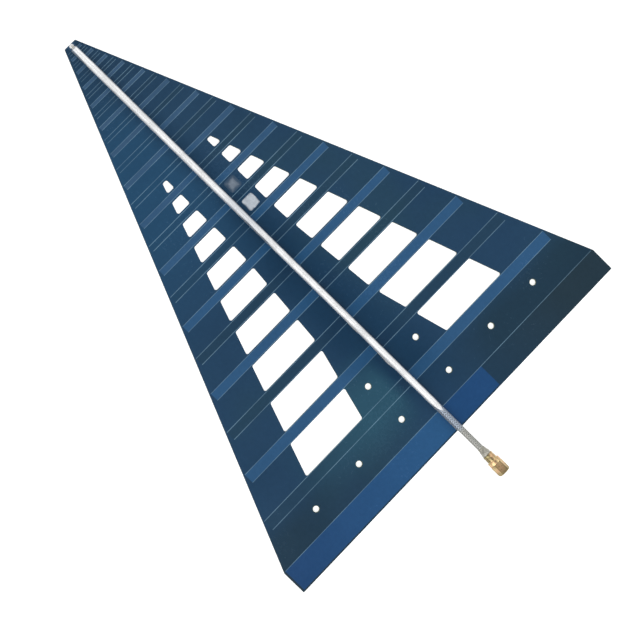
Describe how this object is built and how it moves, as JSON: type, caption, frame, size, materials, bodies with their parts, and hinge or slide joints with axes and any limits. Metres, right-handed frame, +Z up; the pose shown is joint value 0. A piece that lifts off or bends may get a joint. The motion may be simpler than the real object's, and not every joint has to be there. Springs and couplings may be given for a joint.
{
  "type": "log periodic antenna",
  "caption": "Flat tapered printed-board log periodic antenna with windows, half dipoles on both faces, a coaxial cable soldered along its middle and a screw-on coaxial plug.",
  "frame": {"origin": "centre of the four inner mounting holes, on the plane of the board's underside", "axes": "+X along the centre strip towards the plug, +Y across the board, +Z up on the cable's side"},
  "size_m": [0.3893, 0.29, 0.0088],
  "materials": {
    "glass_epoxy": "glass cloth and epoxy, matt cut edges",
    "copper": "etched copper",
    "blue_lacquer": "thin glossy blue lacquer",
    "pale_ink": "plain pale print",
    "tinned_braid": "tinned copper braid",
    "solder": "bright tin solder",
    "gold_plate": "gilded brass",
    "silver_plate": "silvered wire",
    "white_insulator": "white fluoropolymer",
    "spring_bronze": "spring bronze",
    "red_rubber": "silicone rubber"
  },
  "bodies": {
    "antenna": {"laminate": "glass_epoxy", "top_copper": "copper", "bottom_copper": "copper", "top_solder_mask": "blue_lacquer", "bottom_solder_mask": "blue_lacquer", "print_ink": "pale_ink", "feed_eyelet": "solder", "cable_braid": "tinned_braid", "cable_dielectric": "white_insulator", "cable_core": "silver_plate", "boom_solder": "solder", "feed_solder_top": "solder", "feed_solder_bottom": "solder", "plug_solder": "solder", "plug_body": "gold_plate", "plug_snap_ring": "spring_bronze", "plug_insulator": "white_insulator", "plug_contact": "gold_plate", "plug_gasket": "red_rubber"},
    "nut": {"coupling_nut": "gold_plate"}
  },
  "joints": [
    {"name": "nut_turn", "type": "hinge", "parent": "antenna", "child": "nut", "pos_m": [0.07938, 0, 0.00393], "axis": [1, 0, 0], "continuous": true}
  ]
}
